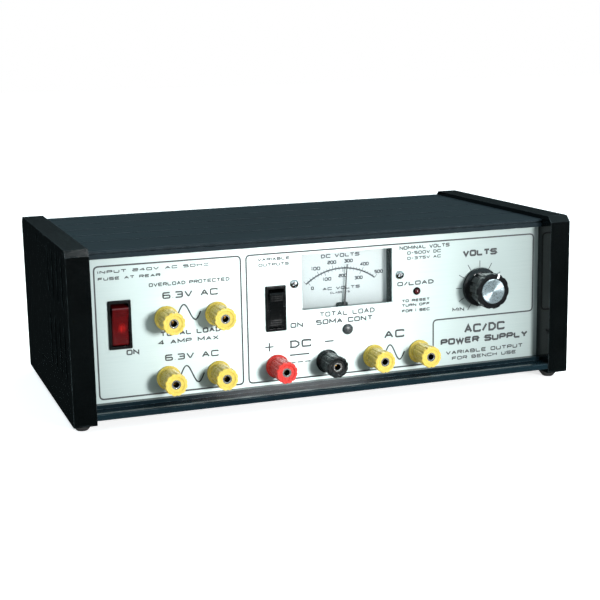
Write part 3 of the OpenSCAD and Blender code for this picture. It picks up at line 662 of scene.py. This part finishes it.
# The dial: an outer scale for direct current, an inner one for alternating current.
PIVOT = middle("zero_screw")
PX, PZ = PIVOT.x * 1000, (PIVOT.z - CASE_Z) * 1000
dial = Print("dial_print", DIAL_Y, "case", "needle_black", ink_finish("dial_ink", (0.035, 0.042, 0.052)))
dial.text("DC VOLTS", 0.4, 28.1, 91.5, 88.9, .26)
dial.text("AC VOLTS", 1.3, 28.1, 69.2, 67.1, .27)
dial.text("CLASS 2.5", 6.7, 20.8, 65.8, 64.4, .25)
DC_START, DC_SWEEP = -39.5, 77  # degrees
AC_START, AC_SWEEP = -37, 58
FINE = 0.32  # millimetres, the width of a tick
dial.arc(PX, PZ, 39.6, DC_START, DC_START + DC_SWEEP, 1.0)
for i in range(26):
    dial.tick(PX, PZ, DC_START + DC_SWEEP * i / 25, 39.7, 42.2 if i % 5 == 0 else 40.9, FINE)
for i in range(16):
    dial.tick(PX, PZ, AC_START + AC_SWEEP * i / 15, 37.0 if i % 5 == 0 else 38.3, 39.5, FINE)


def number(value, angle, radius, height):
    words = str(value)
    wide = height * (0.85 * len(words))
    cx, cz = PX + radius * sin(radians(angle)), PZ + radius * cos(radians(angle))
    dial.text(words, cx - wide / 2, cx + wide / 2, cz + height / 2, cz - height / 2, .27)


for i in range(1, 6):
    number(100 * i, DC_START + DC_SWEEP / 5 * i, 44.5, 2.5)
for value, angle in ((0, -37), (100, -17.3), (200, 1.5), (300, 21)):
    number(value, angle, 34.5, 2.4)
dial.done()


# ------------------------------------------------------ the knob's white mark

def knob_mark():
    """A white inlay over the knob's rim: a strip that follows the rim's profile. Lengths in millimetres."""
    turn, half, proud, deep = radians(22), 0.75, 0.05, 0.3
    profile = [(9.0, 19.5), (11.3, 19.5), (12.2, 18.75), (12.2, 16.2)]  # radius, distance from the panel
    outward = [Vector((0, 1)), Vector((0.35, 0.94)), Vector((0.9, 0.44)), Vector((1, 0))]
    bm, rows = bmesh.new(), []
    for (r, l), o in zip(profile, outward):
        row = []
        for side, lift in ((-half, proud), (half, proud), (half, -deep), (-half, -deep)):
            rr, ll = r + o.x * lift, l + o.y * lift
            x = KNOB_X + rr * sin(turn) + side * cos(turn)
            z = KNOB_Z + rr * cos(turn) - side * sin(turn)
            row.append(bm.verts.new(P(x, PANEL_Y - ll, z)))
        rows.append(row)
    for a, b in zip(rows, rows[1:]):
        for j in range(4):
            bm.faces.new((a[j], b[j], b[(j + 1) % 4], a[(j + 1) % 4]))
    bm.faces.new(rows[0])
    bm.faces.new(rows[-1][::-1])
    bmesh.ops.recalc_face_normals(bm, faces=bm.faces)
    obj = mesh_object("knob_mark", bm)
    obj.data.materials.append(finish("mark_white", (0.74, 0.76, 0.75), (0.35, 0.5), 0.06, 900))
    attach(obj, "control")


knob_mark()


# ------------------------------------------------------ floor, light, camera

FLOOR_GLOW = 0.72  # keeps the far floor as white as the background


def floor():
    """A pale floor that polished pieces don't reflect."""
    bm = bmesh.new()
    bmesh.ops.create_grid(bm, x_segments=1, y_segments=1, size=6)
    obj = mesh_object("studio_floor", bm)
    f = Finish("studio_floor").set(Emission_Color=(1, 1, 1, 1), Emission_Strength=FLOOR_GLOW)
    tint = f.ramp(f.noise(3), (0.3, (0.90, 0.90, 0.90)), (0.7, (0.92, 0.92, 0.92)))
    obj.data.materials.append(f.done(tint, f.span(f.noise(6), 0.75, 0.85)))
    obj.visible_glossy = False


def lamp(name, direction, distance, size, watts, colour=(1, 1, 1)):
    """A square area lamp that faces the middle of the panel. Distance and size are in metres."""
    light = bpy.data.lights.new(name, "AREA")
    light.shape, light.size, light.energy, light.color = "SQUARE", size, watts, colour
    obj = bpy.data.objects.new(name, light)
    scene.collection.objects.link(obj)
    aim = P(0, PANEL_Y, 55)
    way = Vector(direction).normalized()
    obj.location = aim + way * distance
    obj.rotation_euler = (-way).to_track_quat("-Z", "Y").to_euler()


def camera():
    """A long lens at the left, a little above the case."""
    data = bpy.data.cameras.new("camera")
    data.lens, data.sensor_width, data.clip_start, data.clip_end = 77.497, 36.0, 0.01, 50
    obj = bpy.data.objects.new("camera", data)
    scene.collection.objects.link(obj)
    right = (0.93944046, -0.34222427, -0.01828026)
    up = (0.08393206, 0.17803089, 0.98043889)
    back = (-0.33227553, -0.92259826, 0.19597301)
    place = Matrix((right, up, back)).transposed().to_4x4()
    place.translation = (-0.299134, -0.850262, 0.234907)
    obj.matrix_world = place
    scene.camera = obj


def studio():
    """A soft overhead light that falls off towards the horizon, behind a plain white background."""
    world = bpy.data.worlds.new("studio")
    world.use_nodes = True
    tree = world.node_tree
    sky = next(n for n in tree.nodes if n.type == "BACKGROUND")
    out = next(n for n in tree.nodes if n.type == "OUTPUT_WORLD")
    way, axes = tree.nodes.new("ShaderNodeTexCoord"), tree.nodes.new("ShaderNodeSeparateXYZ")
    lift = tree.nodes.new("ShaderNodeMapRange")
    lift.interpolation_type = "SMOOTHSTEP"
    for k, v in (("From Min", 0.08), ("From Max", 0.55), ("To Min", 0.012), ("To Max", 0.72)):
        lift.inputs[k].default_value = v
    white, path, either = (tree.nodes.new(f"ShaderNode{k}")
                           for k in ("Background", "LightPath", "MixShader"))
    white.inputs["Color"].default_value = (1, 1, 1, 1)
    sky.inputs["Color"].default_value = (0.66, 0.93, 1.0, 1)
    tree.links.new(way.outputs["Generated"], axes.inputs[0])
    tree.links.new(axes.outputs["Z"], lift.inputs["Value"])
    tree.links.new(lift.outputs["Result"], sky.inputs["Strength"])
    tree.links.new(path.outputs["Is Camera Ray"], either.inputs[0])
    tree.links.new(sky.outputs[0], either.inputs[1])
    tree.links.new(white.outputs[0], either.inputs[2])
    tree.links.new(either.outputs[0], out.inputs["Surface"])
    scene.world = world


floor()
studio()
KEY_TURN = radians(18)  # to the right of straight in front
lamp("key", (sin(KEY_TURN), -cos(KEY_TURN), 0.15), 1.5, 0.26, 27)
lamp("overhead", (0.24, -0.06, 1.0), 1.5, 0.34, 16)
lamp("left_soft", (-0.75, -0.8, 0.55), 0.75, 0.5, 0.5)
lamp("cool_side", (0.95, -0.35, 0.35), 1.4, 0.7, 0.5, (0.66, 0.96, 1.0))
camera()
scene.view_settings.view_transform = "Standard"
